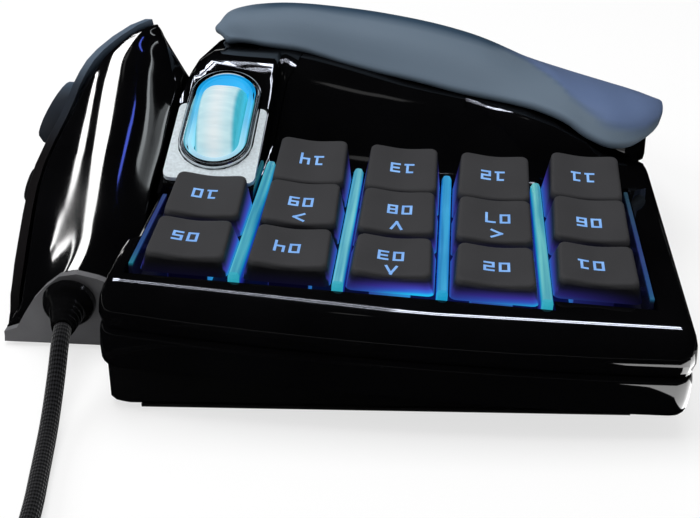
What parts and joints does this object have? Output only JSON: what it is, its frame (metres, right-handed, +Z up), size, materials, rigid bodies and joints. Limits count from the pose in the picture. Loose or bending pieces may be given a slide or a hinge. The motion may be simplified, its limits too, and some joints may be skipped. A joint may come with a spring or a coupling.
{
  "type": "gaming keypad",
  "caption": "Left-hand gaming keypad: sloped key deck, scroll wheel, thumb wing with direction pad, sliding palm rest and coiled USB lead.",
  "frame": {"origin": "bottom centre of the keypad's box, on the table, without its lead", "axes": "+Z up, +X to the pinky side (right in the picture), +Y towards the wrist, lead leaves to -Y"},
  "size_m": [0.1633, 0.3478, 0.0612],
  "materials": {
    "gloss_black": "polished black ABS",
    "base_black": "black ABS, semi-gloss",
    "rubber_feet": "moulded rubber",
    "screw_zinc": "zinc plated steel",
    "light_acrylic": "clear acrylic, lit blue",
    "carrier_black": "black acetal and nylon",
    "dome_silicone": "translucent silicone",
    "board_green": "glass epoxy with solder mask",
    "plate_silver": "satin silver",
    "ring_chrome": "bright chrome plating",
    "wheel_milky": "frosted polycarbonate",
    "steel_pin": "plain steel",
    "soft_blue_grey": "soft touch paint over ABS",
    "thumb_black": "matte black plastic",
    "gimbal_grey": "grey acetal",
    "end_grey": "dark grey ABS",
    "boot_rubber": "black PVC",
    "cord_braid": "braided nylon",
    "tie_fabric": "hook and loop tape",
    "plug_nickel": "nickel plated steel",
    "keycap_charcoal": "matte charcoal with soft coating"
  },
  "bodies": {
    "housing": {"base_wedge": "base_black", "base_foot_front": "rubber_feet", "base_foot_rear": "rubber_feet", "case_screw_front_left": "screw_zinc", "case_screw_front_right": "screw_zinc", "case_screw_rear_left": "screw_zinc", "case_screw_rear_right": "screw_zinc", "lower_casing": "gloss_black", "upper_casing": "gloss_black", "hump_cover": "gloss_black", "light_guide": "light_acrylic", "key_carrier": "carrier_black", "dome_sheet": "dome_silicone", "circuit_board": "board_green", "wheel_plate": "plate_silver", "wheel_bezel": "ring_chrome", "wheel_glow_ring": "light_acrylic", "wing_shell": "gloss_black", "thumb_panel": "soft_blue_grey", "wing_end_plate": "end_grey", "wing_foot_front": "rubber_feet", "wing_foot_rear": "rubber_feet", "thumb_bar_pin": "steel_pin", "strain_relief": "boot_rubber", "cable": "cord_braid", "cable_coil": "cord_braid", "coil_tie": "tie_fabric", "usb_plug_body": "boot_rubber", "usb_connector": "plug_nickel"},
    "key_05": {"keycap_05": "keycap_charcoal"},
    "key_10": {"keycap_10": "keycap_charcoal"},
    "key_04": {"keycap_04": "keycap_charcoal"},
    "key_09": {"keycap_09": "keycap_charcoal"},
    "key_14": {"keycap_14": "keycap_charcoal"},
    "key_03": {"keycap_03": "keycap_charcoal"},
    "key_08": {"keycap_08": "keycap_charcoal"},
    "key_13": {"keycap_13": "keycap_charcoal"},
    "key_02": {"keycap_02": "keycap_charcoal"},
    "key_07": {"keycap_07": "keycap_charcoal"},
    "key_12": {"keycap_12": "keycap_charcoal"},
    "key_01": {"keycap_01": "keycap_charcoal"},
    "key_06": {"keycap_06": "keycap_charcoal"},
    "key_11": {"keycap_11": "keycap_charcoal"},
    "wheel_carriage": {"wheel_carriage": "carrier_black", "wheel_axle": "steel_pin"},
    "wheel": {"scroll_wheel": "wheel_milky"},
    "pad_gimbal": {"pad_gimbal": "gimbal_grey"},
    "direction_pad": {"direction_pad": "thumb_black"},
    "thumb_button": {"thumb_button": "thumb_black"},
    "thumb_bar": {"thumb_bar": "thumb_black"},
    "palm_rest": {"palm_rest_pad": "soft_blue_grey", "palm_rest_frame": "gloss_black", "palm_rail_left": "carrier_black", "palm_rail_right": "carrier_black", "palm_rest_foot_left": "rubber_feet", "palm_rest_foot_right": "rubber_feet"}
  },
  "joints": [
    {"name": "key_01_press", "type": "slide", "parent": "housing", "child": "key_01", "axis": [-0.053, 0, -0.9986], "range_m": [0, 0.0033], "stiffness_N_per_m": 150, "springref_m": -0.0015},
    {"name": "key_02_press", "type": "slide", "parent": "housing", "child": "key_02", "axis": [-0.053, 0, -0.9986], "range_m": [0, 0.0033], "stiffness_N_per_m": 150, "springref_m": -0.0015},
    {"name": "key_03_press", "type": "slide", "parent": "housing", "child": "key_03", "axis": [-0.053, 0, -0.9986], "range_m": [0, 0.0033], "stiffness_N_per_m": 150, "springref_m": -0.0015},
    {"name": "key_04_press", "type": "slide", "parent": "housing", "child": "key_04", "axis": [-0.053, 0, -0.9986], "range_m": [0, 0.0033], "stiffness_N_per_m": 150, "springref_m": -0.0015},
    {"name": "key_05_press", "type": "slide", "parent": "housing", "child": "key_05", "axis": [-0.053, 0, -0.9986], "range_m": [0, 0.0033], "stiffness_N_per_m": 150, "springref_m": -0.0015},
    {"name": "key_06_press", "type": "slide", "parent": "housing", "child": "key_06", "axis": [-0.053, 0, -0.9986], "range_m": [0, 0.0033], "stiffness_N_per_m": 150, "springref_m": -0.0015},
    {"name": "key_07_press", "type": "slide", "parent": "housing", "child": "key_07", "axis": [-0.053, 0, -0.9986], "range_m": [0, 0.0033], "stiffness_N_per_m": 150, "springref_m": -0.0015},
    {"name": "key_08_press", "type": "slide", "parent": "housing", "child": "key_08", "axis": [-0.053, 0, -0.9986], "range_m": [0, 0.0033], "stiffness_N_per_m": 150, "springref_m": -0.0015},
    {"name": "key_09_press", "type": "slide", "parent": "housing", "child": "key_09", "axis": [-0.053, 0, -0.9986], "range_m": [0, 0.0033], "stiffness_N_per_m": 150, "springref_m": -0.0015},
    {"name": "key_10_press", "type": "slide", "parent": "housing", "child": "key_10", "axis": [-0.053, 0, -0.9986], "range_m": [0, 0.0033], "stiffness_N_per_m": 150, "springref_m": -0.0015},
    {"name": "key_11_press", "type": "slide", "parent": "housing", "child": "key_11", "axis": [-0.053, 0, -0.9986], "range_m": [0, 0.0033], "stiffness_N_per_m": 150, "springref_m": -0.0015},
    {"name": "key_12_press", "type": "slide", "parent": "housing", "child": "key_12", "axis": [-0.053, 0, -0.9986], "range_m": [0, 0.0033], "stiffness_N_per_m": 150, "springref_m": -0.0015},
    {"name": "key_13_press", "type": "slide", "parent": "housing", "child": "key_13", "axis": [-0.053, 0, -0.9986], "range_m": [0, 0.0033], "stiffness_N_per_m": 150, "springref_m": -0.0015},
    {"name": "key_14_press", "type": "slide", "parent": "housing", "child": "key_14", "axis": [-0.053, 0, -0.9986], "range_m": [0, 0.0033], "stiffness_N_per_m": 150, "springref_m": -0.0015},
    {"name": "wheel_click", "type": "slide", "parent": "housing", "child": "wheel_carriage", "axis": [-0.0488, 0.3907, -0.9192], "range_m": [0, 0.0008], "stiffness_N_per_m": 400, "springref_m": -0.001},
    {"name": "wheel_spin", "type": "hinge", "parent": "wheel_carriage", "child": "wheel", "pos_m": [-0.03112, -0.02131, 0.03662], "axis": [0.9986, 0, -0.053], "continuous": true},
    {"name": "pad_tilt_fore", "type": "hinge", "parent": "housing", "child": "pad_gimbal", "pos_m": [-0.06625, -0.01811, 0.03686], "axis": [0.4633, 0, 0.8862], "range_deg": [-6, 6], "stiffness_Nm_per_rad": 0.05},
    {"name": "pad_tilt_side", "type": "hinge", "parent": "pad_gimbal", "child": "direction_pad", "pos_m": [-0.06625, -0.01811, 0.03686], "axis": [0.0888, 0.995, -0.0464], "range_deg": [-6, 6], "stiffness_Nm_per_rad": 0.05},
    {"name": "thumb_button_press", "type": "slide", "parent": "housing", "child": "thumb_button", "axis": [0.8818, -0.1002, -0.4609], "range_m": [0, 0.0012], "stiffness_N_per_m": 300, "springref_m": -0.001},
    {"name": "thumb_bar_press", "type": "hinge", "parent": "housing", "child": "thumb_bar", "pos_m": [-0.07792, 0.0017, 0.01523], "axis": [0.1701, 0, 0.9854], "range_deg": [0, 4], "stiffness_Nm_per_rad": 0.03, "springref_deg": -2.86},
    {"name": "palm_rest_slide", "type": "slide", "parent": "housing", "child": "palm_rest", "axis": [0, 1, 0], "range_m": [0, 0.012]}
  ]
}
